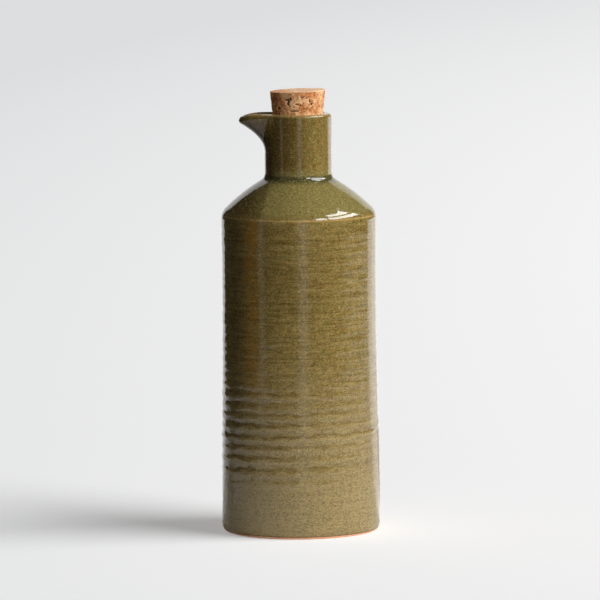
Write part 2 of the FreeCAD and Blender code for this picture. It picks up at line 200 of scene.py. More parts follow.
# The window's panes, as (first azimuth, last azimuth, lowest, highest elevation).
PANES = (
    (28, 46, 31, 42), (50, 71, 31, 42), (71, 93, 31, 42), (93, 114, 31, 42),
    (58, 76, 47.5, 58), (76, 96, 47.5, 58), (96, 116, 47.5, 58),
)
WINDOW_DISTANCE = 2
WINDOW_GLOW = 12.5

# Soft light, as (azimuth, elevation, strength, softness).
WINDOW_LIGHT = (80, 38, 2.2, 50)
FLOOR_LIGHT = (73, 38, 2.9, 50)
WALL_LIGHTS = (
    (62, 20, 0.76, 14), (75, 50, 0.19, 20), (35, 18, 1.3, 14),
    (0, 14, 0.16, 40), (212, 14, 1.3, 24), (12, 14, 0.14, 30),
)

# The camera aims at a point so far right of the axis and above the floor, in millimetres.
CAMERA_AIM = (0.33, 115.3)
CAMERA_DISTANCE = 3
CAMERA_TILT = math.radians(6.3)
CAMERA_LEAN = math.radians(-0.47)
LENS = 360
SENSOR = 36


# ------------------------------------------------------------------ small tools


def ease(part):
    """A soft step from 0 to 1."""
    return 0.5 - 0.5 * np.cos(np.pi * np.clip(part, 0.0, 1.0))


def bell(angle, spread):
    """1 at no angle, dying away to both sides."""
    return np.exp(-0.5 * (angle / spread) ** 2)


def places(piece):
    """The corners of a mesh, in millimetres."""
    flat = np.empty(len(piece.data.vertices) * 3)
    piece.data.vertices.foreach_get("co", flat)
    return flat.reshape(-1, 3) / MM


def put_back(piece, corners):
    """Moves the corners of a mesh to their new places."""
    piece.data.vertices.foreach_set("co", (corners * MM).ravel())
    piece.data.update()


def widen(corners, share):
    """Moves each corner out from the axis, or in towards it."""
    corners[:, 0] *= share
    corners[:, 1] *= share


def note(piece, name, values):
    """Keeps one number for each corner, for the finish to read."""
    layer = piece.data.attributes.new(name, "FLOAT", "POINT")
    layer.data.foreach_set("value", np.asarray(values, dtype=np.float32))


def mottle(corners, seed, waves, lump, stretch=1.0):
    """Seeded soft unevenness over a surface, about -1 to 1, with lumps of about one size.
    Stretch is how many times wider than high they are."""
    dice = np.random.default_rng(seed)
    corners = corners * (1, 1, stretch)
    total = np.zeros(len(corners))
    for _ in range(waves):
        way = dice.normal(size=3)
        way *= TURN / (np.linalg.norm(way) * lump * dice.uniform(*LUMP_SPREAD))
        total += np.sin(corners @ way + dice.uniform(0, TURN))
    return total / math.sqrt(waves / 2)


# ------------------------------------------------------------------ the section of the pot


def crossing(centre_a, radius_a, centre_b, radius_b):
    """The lower of the two points where two circles cross."""
    gap = math.dist(centre_a, centre_b)
    along = (gap**2 + radius_a**2 - radius_b**2) / (2 * gap)
    aside = math.sqrt(radius_a**2 - along**2)
    way = ((centre_b[0] - centre_a[0]) / gap, (centre_b[1] - centre_a[1]) / gap)
    middle = (centre_a[0] + along * way[0], centre_a[1] + along * way[1])
    points = [
        (middle[0] + side * aside * way[1], middle[1] - side * aside * way[0]) for side in (-1, 1)
    ]
    return min(points, key=lambda point: point[1])


def run(start, end, step):
    """Points from start, left out, to end along a straight line, about step apart."""
    count = max(1, round(math.dist(start, end) / step))
    across, up = end[0] - start[0], end[1] - start[1]
    return [
        (start[0] + across * share / count, start[1] + up * share / count)
        for share in range(1, count + 1)
    ]


def sweep(centre, radius, first, last, step):
    """Points along an arc after its first angle, in degrees, up to its last."""
    count = max(2, round(radius * math.radians(abs(last - first)) / step))
    turns = [math.radians(first + (last - first) * share / count) for share in range(1, count + 1)]
    return [
        (centre[0] + radius * math.cos(turn), centre[1] + radius * math.sin(turn))
        for turn in turns
    ]


def angle_of(centre, point):
    """The direction from a centre to a point, in degrees."""
    return math.degrees(math.atan2(point[1] - centre[1], point[0] - centre[0]))


def wall_radius(height):
    """Outside of the wall: it narrows to the waist and opens again to the shoulder."""
    if height < WAIST_HEIGHT:
        below = (WAIST_HEIGHT - height) / (WAIST_HEIGHT - BELLY_HEIGHT)
        return BODY_RADIUS - WAIST_TUCK * (1 - ease(below))
    above = (height - WAIST_HEIGHT) / (WALL_TOP - WAIST_HEIGHT)
    return BODY_RADIUS - WAIST_TUCK + (WAIST_TUCK - SHOULDER_TUCK) * ease(above)


def cork_radius(height):
    """The cork tapers evenly."""
    return CORK_TOP_RADIUS - (CORK_TOP - height) * CORK_TAPER


def pot_section():
    """The outline of the clay as (radius, height), from under the base round the outside, over
    the rim and down the inside to the floor. Rows are close together where the form is fine."""
    foot = BODY_RADIUS - FOOT_TUCK
    recess = foot - FOOT_RING
    bevel = (FOOT_BEVEL**2 + FOOT_TUCK**2) / (2 * FOOT_TUCK)
    bevel_centre = (BODY_RADIUS - bevel, FOOT_BEVEL)
    shoulder = BODY_RADIUS - SHOULDER_TUCK
    edge_centre = (shoulder - EDGE_RADIUS, WALL_TOP)
    root_centre = (NECK_RADIUS + NECK_ROOT_RADIUS, NECK_ROOT_HEIGHT)
    dome_centre = crossing(
        edge_centre, DOME_RADIUS - EDGE_RADIUS, root_centre, DOME_RADIUS + NECK_ROOT_RADIUS
    )
    dome_low = angle_of(dome_centre, edge_centre)
    dome_high = angle_of(dome_centre, root_centre)

    rim_low = RIM_HEIGHT - RIM_ROUNDING
    mouth = cork_radius(rim_low) + CORK_GAP
    seat_end = RIM_HEIGHT - SEAT_DEPTH
    bore = cork_radius(seat_end) + CORK_GAP
    inner_dome = DOME_RADIUS - WALL
    inner_wall = shoulder - WALL
    reach = inner_dome + BORE_ROUNDING
    round_x = bore + BORE_ROUNDING
    round_z = dome_centre[1] + math.sqrt(reach**2 - (round_x - dome_centre[0]) ** 2)
    round_centre = (round_x, round_z)
    inner_high = angle_of(dome_centre, round_centre)
    corner_centre = (inner_wall - FLOOR_CORNER, FLOOR_HEIGHT + FLOOR_CORNER)

    line = [(0.0, FOOT_RECESS)]

    def straight(radius, height, step):
        """Goes on to a point."""
        line.extend(run(line[-1], (radius, height), step))

    def arc(centre, radius, first, last, step):
        """Goes on round a centre, by angles in degrees."""
        line.extend(sweep(centre, radius, first, last, step))

    # Under the base and round the foot ring.
    inner_foot = recess - RECESS_ROUNDING
    outer_foot = (foot - FOOT_ROUNDING, FOOT_ROUNDING)
    ring_slope = 1.4
    bevel_start = (foot + 0.15, 0.35)
    straight(inner_foot, FOOT_RECESS, step=4.0)
    arc((inner_foot, FOOT_RECESS - RECESS_ROUNDING), RECESS_ROUNDING, 90, 45, step=0.3)
    straight(recess + ring_slope / 2, 0.12, step=0.4)
    straight(recess + ring_slope, 0.0, step=0.4)
    straight(outer_foot[0], 0.0, step=1.0)
    arc(outer_foot, FOOT_ROUNDING, -90, angle_of(bevel_centre, (foot, 0.0)), step=0.15)
    arc(bevel_centre, bevel, angle_of(bevel_centre, bevel_start), 0, step=0.4)

    # Up the wall, over the shoulder and up the neck to the rim.
    wall_rise = WALL_TOP - FOOT_BEVEL
    wall_rows = round(wall_rise / WALL_ROW)
    heights = [FOOT_BEVEL + wall_rise * row / wall_rows for row in range(1, wall_rows + 1)]
    line.extend((wall_radius(height), height) for height in heights)
    arc(edge_centre, EDGE_RADIUS, 0, dome_low, step=0.5)
    arc(dome_centre, DOME_RADIUS, dome_low, dome_high, step=0.8)
    arc(root_centre, NECK_ROOT_RADIUS, dome_high - 180, -180, step=0.35)
    straight(NECK_RADIUS, SPOUT_ROOT, step=0.9)
    straight(NECK_RADIUS, rim_low, step=0.6)
    arc((NECK_RADIUS - RIM_ROUNDING, rim_low), RIM_ROUNDING, 0, 90, step=0.25)
    straight(mouth + RIM_ROUNDING, RIM_HEIGHT, step=0.3)
    arc((mouth + RIM_ROUNDING, rim_low), RIM_ROUNDING, 90, 180, step=0.25)

    # Down the inside.
    straight(bore, seat_end, step=0.7)
    straight(bore, SPOUT_ROOT, step=0.9)
    straight(bore, round_z, step=1.5)
    arc(round_centre, BORE_ROUNDING, 180, inner_high + 180, step=1.0)
    arc(dome_centre, inner_dome, inner_high, dome_low, step=3.0)
    arc(edge_centre, EDGE_RADIUS - WALL, dome_low, 0, step=1.5)
    straight(inner_wall, corner_centre[1], step=5.0)
    arc(corner_centre, FLOOR_CORNER, 0, -90, step=1.5)
    straight(0.0, FLOOR_HEIGHT, step=4.0)
    return line


def throw(name, section):
    """Draws a section point by point, as a string of edges, and spins it on the wheel."""
    bpy.ops.object.select_all(action="DESELECT")
    bpy.ops.mesh.primitive_plane_add(size=MM, location=(0, 0, 0))
    piece = bpy.context.object
    piece.name = piece.data.name = name
    bpy.ops.object.mode_set(mode="EDIT")
    bpy.ops.mesh.select_mode(type="VERT")
    bpy.ops.mesh.select_all(action="SELECT")
    bpy.ops.mesh.merge(type="CENTER")
    here = (0.0, 0.0)
    for number, (radius, height) in enumerate(section):
        move = ((radius - here[0]) * MM, 0, (height - here[1]) * MM)
        if number == 0:
            bpy.ops.transform.translate(value=move)
        else:
            bpy.ops.mesh.extrude_region_move(TRANSFORM_OT_translate={"value": move})
        here = (radius, height)
    bpy.ops.mesh.select_all(action="SELECT")
    bpy.ops.mesh.spin(steps=COLUMNS, angle=TURN, center=(0, 0, 0), axis=(0, 0, 1))
    bpy.ops.mesh.select_all(action="SELECT")
    bpy.ops.mesh.remove_doubles(threshold=0.01 * MM)
    bpy.ops.mesh.normals_make_consistent(inside=False)
    bpy.ops.mesh.faces_shade_smooth()
    bpy.ops.object.mode_set(mode="OBJECT")
    return piece


# ------------------------------------------------------------------ hand work on the clay


def crowd_columns(corners):
    """Turns the columns of a spun pot towards the beak, at -X, where the form is finest."""
    turn = np.arctan2(corners[:, 1], -corners[:, 0])
    radius = np.hypot(corners[:, 0], corners[:, 1])
    turn = turn - BEAK_CROWDING * np.sin(turn)
    corners[:, 0] = -radius * np.cos(turn)
    corners[:, 1] = radius * np.sin(turn)


def ring_lift(turn, height):
    """How far the throwing rings stand proud, and how much each place faces up. They climb the
    wall as one long helix, to the right on the front. The hand presses unevenly, and harder
    towards the beak's side."""
    crests, strengths = (list(column) for column in zip(*RINGS))
    while crests[-1] < WALL_TOP:
        crests.append(crests[-1] + FAINT_RISE)
        strengths.append(FAINT_RING)
    count = np.arange(len(crests))
    thread = np.interp(height, crests, count)
    phase = thread + (turn + math.pi / 2) / TURN
    hand = 0.9 + 0.25 * np.sin(5.1 * thread + 0.7 + turn) + 0.2 * np.sin(3 * turn + 2.3 * thread)
    hand += 0.4 * np.cos(turn + 0.6)
    strength = np.interp(phase, count, strengths) * hand * ease((WALL_TOP - height) / RING_FADE)
    ridge = ((1 + np.cos(TURN * phase)) / 2) ** RING_SHARPNESS
    return RING_DEPTH * strength * (ridge - RING_MIDDLE), strength * np.sin(TURN * phase)


def pull_beak(corners):
    """Draws the wall of the lip out to the beak at -X, and lets the tip hang a little."""
    middle = (NECK_RADIUS + cork_radius(RIM_HEIGHT) + CORK_GAP) / 2
    radius = np.hypot(corners[:, 0], corners[:, 1])
    lip = (corners[:, 2] > SPOUT_ROOT) & (radius < NECK_RADIUS + 1)
    turn = np.arctan2(corners[lip, 1], -corners[lip, 0])
    share = (corners[lip, 2] - SPOUT_ROOT) / SPOUT_DEPTH

    def sheet(angle, rise):
        """The middle of the clay."""
        out = middle + SPOUT_PULL * bell(angle, SPOUT_SPREAD) * rise**SPOUT_CURVE
        droop = SPOUT_DROOP * bell(angle, DROOP_SPREAD) * rise**DROOP_CURVE
        up = SPOUT_ROOT + SPOUT_DEPTH * rise - droop
        return np.stack((-out * np.cos(angle), out * np.sin(angle), up), axis=1)

    around = sheet(turn + NUDGE, share) - sheet(turn - NUDGE, share)
    upward = sheet(turn, share + NUDGE) - sheet(turn, np.maximum(share - NUDGE, 0))
    outward = np.cross(upward, around)
    outward /= np.linalg.norm(outward, axis=1)[:, None]
    thickness = 1 - SPOUT_THINNING * bell(turn, SPOUT_SPREAD) * share
    corners[lip] = sheet(turn, share) + outward * ((radius[lip] - middle) * thickness)[:, None]


def shape_pot(pot):
    """Rings, unevenness and beak, and the notes that the glaze reads."""
    corners = places(pot)
    crowd_columns(corners)
    radius = np.hypot(corners[:, 0], corners[:, 1])
    height = corners[:, 2].copy()
    turn = np.arctan2(corners[:, 1], -corners[:, 0])
    wall = np.array([wall_radius(z) for z in height])
    outside = (radius > wall - 1) & (height > FOOT_BEVEL) & (height < WALL_TOP + 0.1)

    ragged = 0.25 * mottle(corners, seed=14, waves=40, lump=9, stretch=2.5)
    ragged += 0.12 * mottle(corners, seed=15, waves=60, lump=4, stretch=1.6)
    lift, facing_up = ring_lift(turn, height + ragged)
    pressed = 1 + 0.35 * mottle(corners, seed=16, waves=50, lump=7, stretch=1.5)
    lift = np.where(outside, lift * pressed, 0.0)
    wobble = 0.1 * mottle(corners, seed=11, waves=24, lump=60, stretch=0.6)
    wobble += 0.02 * mottle(corners, seed=12, waves=30, lump=12, stretch=2.2)
    wobble += 0.01 * mottle(corners, seed=13, waves=40, lump=5, stretch=1.3)
    fade = ease((height - FOOT_BEVEL) / FOOT_FADE) * ease((WALL_TOP - height) / RING_FADE)
    proud = np.where(outside, lift + fade * (wobble - HELD_IN), 0.0)
    widen(corners, (radius + proud) / np.maximum(radius, TINY))
    note(pot, "ring", lift / RING_DEPTH)
    note(pot, "lee", np.where(outside, facing_up, 0.0))
    pull_beak(corners)
    put_back(pot, corners)


# ------------------------------------------------------------------ the cork


def cork_section():
    """The cork's outline from the middle of its bottom to the middle of its top."""
    low = cork_radius(CORK_BOTTOM)
    high = CORK_TOP_RADIUS
    chamfer = 0.5
    flare = 0.02
    edge_centre = (high - flare - CORK_EDGE, CORK_TOP - CORK_EDGE)
    line = [(0.0, CORK_BOTTOM)]
    line += run(line[-1], (low - chamfer, CORK_BOTTOM), step=0.9)
    line += run(line[-1], (low, CORK_BOTTOM + chamfer), step=0.35)
    line += run(line[-1], (high - flare, CORK_TOP - CORK_EDGE), step=0.36)
    line += sweep(edge_centre, CORK_EDGE, 0, 90, step=0.18)
    line += run(line[-1], (0.0, CORK_TOP), step=0.45)
    return line


def cork_pores(dice):
    """The pores as (angle in radians, height, half length, half height, depth). None is strewn
    on the front near the top, where the large ones are listed."""
    pores = [
        (math.radians(angle), CORK_TOP - drop, width, tall, depth)
        for angle, drop, width, tall, depth in CORK_PORES
    ]
    for _ in range(STREWN_PORES):
        angle = dice.uniform(-math.pi, math.pi)
        drop = dice.uniform(*STREWN_DROPS)
        if abs(angle) > FRONT_ANGLE or drop > FRONT_DEPTH:
            width, tall = dice.uniform(*STREWN_WIDTHS), dice.uniform(*STREWN_HEIGHTS)
            pores.append((angle, CORK_TOP - drop, width, tall, dice.uniform(*STREWN_DEPTHS)))
    return pores


def shape_cork(cork):
    """Slanted top, pores, crumbs and rubbed edges."""
    corners = places(cork)
    radius = np.hypot(corners[:, 0], corners[:, 1])
    height = corners[:, 2].copy()
    front = np.arctan2(corners[:, 0], -corners[:, 1])
    side = (radius > cork_radius(height) - CORK_SKIN) & (height > CORK_BOTTOM + CORK_SKIN)

    dice = np.random.default_rng(7)
    pores = cork_pores(dice)
    ragged = 0.35 * mottle(corners, seed=21, waves=20, lump=2.0)
    dent = np.zeros(len(corners))
    for angle, level, width, tall, depth in pores:
        along = (np.angle(np.exp(1j * (front - angle))) * radius + 0.5 * ragged) / width
        across = (height - level + 0.5 * ragged) / tall
        dent = np.maximum(dent, depth * np.exp(-((along**2 + across**2) ** PORE_SHARPNESS)))
    dent = np.where(side, dent, 0.0)

    top = height > CORK_TOP - 0.05
    spread = np.sqrt(dice.uniform(0, 1, TOP_PITS)) * (CORK_TOP_RADIUS - TOP_PIT_MARGIN)
    way = dice.uniform(-math.pi, math.pi, TOP_PITS)
    for out, angle in zip(spread, way):
        right = (corners[:, 0] - out * math.cos(angle)) / TOP_PIT_STRETCH
        back = corners[:, 1] - out * math.sin(angle)
        away = (np.hypot(right, back) + 0.3 * ragged) / TOP_PIT_SIZE
        pit = TOP_PIT_DEPTH * np.exp(-(away**2))
        dent = np.where(top, np.maximum(dent, pit), dent)

    crumbs = CRUMBS * mottle(corners, seed=22, waves=30, lump=1.6)
    crumbs += CRUMBS * mottle(corners, seed=23, waves=24, lump=5)
    worn = (radius - dent + crumbs - RUBBED_OFF) / np.maximum(radius, TINY)
    widen(corners, np.where(side, worn, 1.0))
    corners[:, 2] -= np.where(top, dent + np.abs(crumbs), 0.0)
    slanting = np.clip((height - RIM_HEIGHT) / (CORK_TOP - RIM_HEIGHT), 0, 1)
    corners[:, 2] += corners[:, 0] * CORK_SLANT * slanting
    note(cork, "pore", np.clip(dent / DARK_PORE, 0, 1))
    put_back(cork, corners)


# ------------------------------------------------------------------ finishes


class Flow:
    """One output of a material's nodes. Arithmetic on it adds Math nodes."""

    def __init__(self, socket):
        self.socket = socket

    def node(self, kind, inputs=(), output=0, **settings):
        """Adds a node: first its settings, then its values and links."""
        tree = self.socket.id_data
        new = tree.nodes.new("ShaderNode" + kind)
        for name, value in settings.items():
            setattr(new, name, value)
        for name, value in dict(inputs).items():
            if isinstance(value, Flow):
                tree.links.new(value.socket, new.inputs[name])
            else:
                new.inputs[name].default_value = value
        return Flow(new.outputs[output])

    def math(self, operation, *others):
        """Adds a Math node with this as its first value."""
        return self.node("Math", dict(enumerate((self,) + others)), operation=operation)

    def vector(self, operation, *others, output=0):
        """Adds a Vector Math node with this as its first vector."""
        inputs = dict(enumerate((self,) + others))
        return self.node("VectorMath", inputs, output, operation=operation)

    def __add__(self, other):
        return self.math("ADD", other)

    def __mul__(self, other):
        return self.math("MULTIPLY", other)

    def __sub__(self, other):
        return self.math("SUBTRACT", other)

    def __rsub__(self, other):
        return self.node("Math", {0: other, 1: self}, operation="SUBTRACT")

    __radd__ = __add__
    __rmul__ = __mul__

    def along(self, axis):
        """One number of a place: 0 to the right, 1 to the back, 2 up."""
        return self.node("SeparateXYZ", {0: self}, output=axis)

    def fit(self, low, high):
        """0 below low, 1 above high, a soft step between. High may be the smaller."""
        way = {"From Min": low, "From Max": high}
        return self.node("MapRange", {"Value": self, **way}, interpolation_type="SMOOTHSTEP")

    def band(self, low, full, fading, high):
        """1 from full to fading, 0 below low and above high."""
        return self.fit(low, full) * (1 - self.fit(fading, high))

    def tint(self, colour_0, colour_1):
        """The first colour where this is 0, the second where it is 1."""
        return self.node("Mix", {0: self, 6: colour_0, 7: colour_1}, output=2, data_type="RGBA")

    def paint(self, under, colour, cover):
        """A colour laid over another where this is 1, with so much cover."""
        return (self * cover).tint(under, colour)

    def spread(self, scale, detail=2.0, roughness=0.5, lean=(1, 1, 1)):
        """Noise on this place, scale lumps a millimetre, stretched where lean is small."""
        inputs = {"Vector": self.vector("MULTIPLY", lean), "Scale": scale}
        return self.node("TexNoise", {**inputs, "Detail": detail, "Roughness": roughness})

    def strew(self, scale):
        """How far this place is from the nearest of the dots strewn over the piece."""
        return self.node("TexVoronoi", {"Vector": self, "Scale": scale, "Randomness": 1.0})

    def bump(self, strength, depth):
        """Fine relief in the surface, depth in millimetres."""
        return self.node("Bump", {"Height": self, "Strength": strength, "Distance": depth * MM})


def rgb(red, green, blue):
    """A colour as paint charts give it, 0 to 255, made linear."""
    parts = [value / 255 for value in (red, green, blue)]
    linear = (p / 12.92 if p <= 0.04045 else ((p + 0.055) / 1.055) ** 2.4 for p in parts)
    return (*linear, 1.0)


def new_finish(name):
    """An empty material with a Principled shader: the material, the shader, and the place on
    the piece in millimetres."""
    finish = bpy.data.materials.new(name)
    finish.use_nodes = True
    finish.node_tree.nodes.clear()
    nodes = finish.node_tree.nodes
    shader = nodes.new("ShaderNodeBsdfPrincipled")
    out = nodes.new("ShaderNodeOutputMaterial")
    finish.node_tree.links.new(shader.outputs[0], out.inputs["Surface"])
    where = Flow(nodes.new("ShaderNodeTexCoord").outputs["Object"])
    return finish, shader, where.node("VectorMath", {0: where, "Scale": 1 / MM}, operation="SCALE")


def wire(shader, **flows):
    """Links flows to the shader's sockets, by the sockets' names."""
    for name, flow in flows.items():
        shader.id_data.links.new(flow.socket, shader.inputs[name.replace("_", " ")])


def keep(shader, **values):
    """Sets what is the same all over a surface, by the sockets' names."""
    for name, value in values.items():
        shader.inputs[name.replace("_", " ")].default_value = value


def glazed_stoneware():
    """Ash glaze over brown stoneware: olive where it lies thick, rusty where it breaks thin over
    edges and ring crests, greener where it pooled, speckled by the iron in the clay. The foot
    is left bare."""
    finish, shader, place = new_finish("glazed_stoneware")
    right, back, height = (place.along(axis) for axis in range(3))
    radius = place.vector("MULTIPLY", (1, 1, 0)).vector("LENGTH", output=1)
    ring = place.node("Attribute", output=2, attribute_name="ring")
    lee = place.node("Attribute", output=2, attribute_name="lee")
    wall = 1 - height.fit(157, 160)
    front = 1 - back.fit(-10, 0)

    broad = place.spread(0.03, 3, lean=(1, 1, 0.7))
    bands = place.spread(0.1, 3, 0.6, lean=(0.6, 0.6, 9))
    brush = place.spread(0.5, 3, 0.6, lean=(0.5, 0.5, 2.2))
    blotch = place.spread(0.3, 3, 0.65, lean=(0.8, 0.8, 1.2))
    drift = place.spread(0.5, 3, 0.6, lean=(1, 1, 0.3))
    grain = place.spread(0.9, 3, 0.7, lean=(0.8, 0.8, 1.25))
    fine = place.spread(1.5, 2, 0.6, lean=(0.75, 0.75, 1.3))

    olive = rgb(121, 101, 50)
    khaki = rgb(134, 113, 61)
    green = rgb(108, 104, 54)
    ochre = rgb(140, 102, 46)
    umber = rgb(90, 68, 27)
    rust = rgb(160, 110, 22)
    floor_light_beige = rgb(160, 141, 100)
    thin_glaze = rgb(172, 151, 106)

    # The body of the glaze, with blotches, level bands and downward drifts.
    body = broad.fit(0.35, 0.65).tint(olive, khaki)
    body = blotch.fit(0.5, 0.62).paint(body, green, 0.5)
    body = blotch.fit(0.46, 0.36).paint(body, ochre, 0.35)
    body = (bands.fit(0.5, 0.6) * wall).paint(body, umber, 0.5)
    body = (bands.fit(0.48, 0.38) * wall).paint(body, rgb(156, 136, 86), 0.36)
    body = drift.fit(0.52, 0.64).paint(body, umber, 0.3)
    body = drift.fit(0.46, 0.34).paint(body, rgb(152, 130, 76), 0.2)

    # A rusty run down the left of the front. Below it, painted light from the floor makes the glaze
    # paler towards the foot.
    stain = right.band(-29, -24, -23, -17.5) * front * height.fit(62, 84) * wall
    stain = stain * (drift + blotch).fit(0.82, 1.08) * grain.fit(0.3, 0.55)
    body = stain.paint(body, rust, 0.85)
    body = height.fit(104, 46).paint(body, floor_light_beige, 0.46)

    # The rings: thin on the crests, thick in the hollows and on their undersides.
    crest = (ring + (brush - 0.5) * 2.4 + (grain - 0.5) * 2.2).fit(0.2, 0.9)
    body = crest.paint(body, thin_glaze, 0.45)
    hollow = ring - lee * 0.25 + (brush - 0.5) * 2.2 + (grain - 0.5) * 2.0
    hollow = hollow.fit(-0.15, -0.65) * (1 - height.fit(34, 22))
    body = hollow.paint(body, umber, 0.6)

    # The shoulder, the pool round the root of the neck, and the neck.
    shoulder = height.band(159.2, 162, 178, 184)
    body = shoulder.paint(body, rgb(130, 121, 70), 0.75)
    pooled = height.band(173.8, 177, 178, 179.2)
    body = pooled.paint(body, rgb(52, 55, 28), 0.9)
    # Painted shade: the left front of the shoulder is painted darker, on the side away from the
    # window's light.
    dim = shoulder * front * (right - height * 0.3).fit(-66, -67.5)
    body = (dim * (right.fit(-12, -28) * 0.4 + 0.45)).tint(body, rgb(66, 48, 16))
    # Darker on the left of the neck, below the beak.
    thick = height.fit(179, 184) * right.fit(9, -4)
    body = thick.paint(body, rgb(84, 62, 16), 0.66)

    # The glaze breaks thin over the shoulder's edge and the rim.
    edge = (height + (grain - 0.5) * 0.9 - 158.5).math("ABSOLUTE")
    rim = height.fit(207.6, 208.8)
    broken = (1 - edge.fit(0.1, 0.7)).math("MAXIMUM", rim * 0.7)
    body = broken.paint(body, rgb(178, 146, 86), 0.9)

    # Grain, iron specks and pinholes.
    body = grain.fit(0.52, 0.64).paint(body, rgb(78, 62, 26), 0.42)
    body = grain.fit(0.46, 0.34).paint(body, rgb(172, 152, 96), 0.3)
    body = fine.fit(0.54, 0.66).paint(body, rgb(62, 48, 20), 0.48)
    body = fine.fit(0.46, 0.34).paint(body, rgb(184, 164, 112), 0.35)
    specks = 1 - place.strew(0.7).fit(0.1, 0.3)
    body = (specks * 0.6 * grain.fit(0.42, 0.56)).tint(body, rgb(44, 32, 16))
    pinholes = (1 - place.strew(0.055).fit(0.018, 0.032)) * wall
    body = pinholes.paint(body, rgb(206, 184, 132), 0.7)

    # The wavy hem where the glaze was wiped from the foot, with a dark seam, and the bare clay.
    above_hem = height - (place.spread(0.12, 2) * 0.5 + 0.75)
    glazed = above_hem.fit(-0.15, 0.12)
    glazed = glazed * radius.fit(30, 33).math("MAXIMUM", height.fit(3, 4))
    seam = glazed * (1 - above_hem.fit(0.15, 0.8))
    body = seam.paint(body, rgb(84, 48, 26), 0.75)
    clay = grain.fit(0.3, 0.7).tint(rgb(224, 158, 116), rgb(244, 192, 150))
    clay = fine.fit(0.55, 0.7).paint(clay, rgb(140, 84, 52), 0.4)
    colour = glazed.tint(clay, body)

    peel = place.spread(0.5, 2) * 0.5 + place.spread(1.4, 1) * 0.2
    throwing = (bands * 0.35 + brush * 0.5) * wall
    skin = (peel + throwing) * glazed + (1 - glazed) * grain * 2.5
    bare_roughness = 0.62
    dullness = glazed * ((grain * 0.06 + 0.03) - bare_roughness) + bare_roughness
    wire(shader, Base_Color=colour, Roughness=dullness, Normal=skin.bump(0.35, depth=0.2))
    keep(shader, IOR=1.52)
    return finish


def natural_cork():
    """Bark grain in warm tans, dark brown pores, and a paler dusty top."""
    finish, shader, place = new_finish("natural_cork")
    pore = place.node("Attribute", output=2, attribute_name="pore")
    lumps = place.spread(0.22, 4, 0.6)
    crumb = place.spread(0.9, 4, 0.65)
    flakes = place.spread(0.5, 3, 0.6, lean=(0.4, 1, 1.6))

    tan = lumps.fit(0.36, 0.66).tint(rgb(190, 118, 62), rgb(236, 190, 140))
    tan = crumb.fit(0.5, 0.68).paint(tan, rgb(166, 92, 48), 0.55)
    tan = crumb.fit(0.46, 0.34).paint(tan, rgb(248, 210, 162), 0.4)
    tan = flakes.fit(0.6, 0.7).paint(tan, rgb(124, 66, 34), 0.6)
    tan = place.strew(0.55).fit(0.62, 0.8).paint(tan, rgb(150, 84, 44), 0.35)
    pits = (1 - place.strew(0.8).fit(0.16, 0.36)) * crumb.fit(0.44, 0.54)
    tan = pits.paint(tan, rgb(58, 30, 16), 0.85)
    top = place.along(2).fit(CORK_TOP - 0.35, CORK_TOP - 0.05)
    tan = top.paint(tan, rgb(236, 202, 166), 0.6)
    dark = (pore + (crumb - 0.5) * 0.5).fit(0.3, 0.75)
    colour = dark.paint(tan, rgb(62, 34, 20), 0.9)

    bark = (crumb * 0.8 + flakes * 0.5 - pore * 0.6).bump(0.6, depth=0.35)
    wire(shader, Base_Color=colour, Roughness=crumb * 0.15 + 0.72, Normal=bark)
    keep(shader, Specular_IOR_Level=0.3)
    return finish


def plain_finish(name, colour, glow=0.0):
    """A flat paint for the room, which may also give light."""
    finish, shader, _ = new_finish(name)
    keep(shader, Base_Color=colour, Roughness=0.9, Specular_IOR_Level=0.1)
    keep(shader, Emission_Color=(1, 1, 1, 1), Emission_Strength=glow)
    return finish


def fading_glow(name, glow):
    """Light that fades away to both sides of an upright strip."""
    finish, shader, place = new_finish(name)
    across = place.along(0).math("ABSOLUTE")
    warm_light = (1, 0.95, 0.85, 1)
    wire(shader, Emission_Color=across.fit(500, 0).tint((0, 0, 0, 1), warm_light))
    keep(shader, Base_Color=(0, 0, 0, 1), Emission_Strength=glow)
    return finish


def floor_paper():
    """Pale paper with a painted pool of window light on the window's side: the paper is painted
    darker away from it.
    """
    finish, shader, place = new_finish("floor_paper")
    # Painted light: the paper is pale within the pool of window light and painted darker beyond it.
    window_light_pool = (1200 / FLOOR_SIZE, -100 / FLOOR_SIZE, 0)
    lit_within, shaded_beyond = 1000, 1700
    pale, dull = (0.95, 0.95, 0.955, 1), (0.655, 0.667, 0.682, 1)
    away = place.vector("SUBTRACT", window_light_pool).vector("MULTIPLY", (FLOOR_SIZE, 0.35 * FLOOR_SIZE, 0))
    away = away.vector("LENGTH", output=1)
    away = away.node("MapRange", {"Value": away, "From Min": lit_within, "From Max": shaded_beyond})
    wire(shader, Base_Color=away.tint(pale, dull))
    keep(shader, Emission_Color=(1, 1, 1, 1), Emission_Strength=0.335)
    keep(shader, Roughness=0.9, Specular_IOR_Level=0.0)
    return finish


# ------------------------------------------------------------------ the pieces

pot = throw("stoneware_pot", pot_section())
shape_pot(pot)
pot.data.materials.append(glazed_stoneware())
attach(pot, "root")
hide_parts("stoneware_bottle")

cork = throw("tapered_cork", cork_section())
shape_cork(cork)
cork.data.materials.append(natural_cork())
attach(cork, "root")
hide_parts("cork_stopper")


# ------------------------------------------------------------------ the room


def card(name, size, place, turn, finish):
    """A flat sheet of the room. Turned by angles about X, Y and Z in degrees."""
    bpy.ops.object.select_all(action="DESELECT")
    bpy.ops.mesh.primitive_plane_add(size=1, location=place)
    sheet = bpy.context.object
    sheet.name = name
    sheet.scale = (size[0], size[1], 1)
    sheet.rotation_euler = [math.radians(angle) for angle in turn]
    sheet.data.materials.append(finish)
    return sheet


def only_in_gloss(sheet):
    """Shows only as a reflection in the glaze."""
    sheet.visible_camera = False
    sheet.visible_diffuse = False
    sheet.visible_shadow = False
    sheet.visible_transmission = False


def round_the_pot(azimuth, distance, height):
    """A place in the room. The azimuth is from the camera's side towards the right."""
    angle = math.radians(azimuth)
    return (distance * math.sin(angle), -distance * math.cos(angle), height)


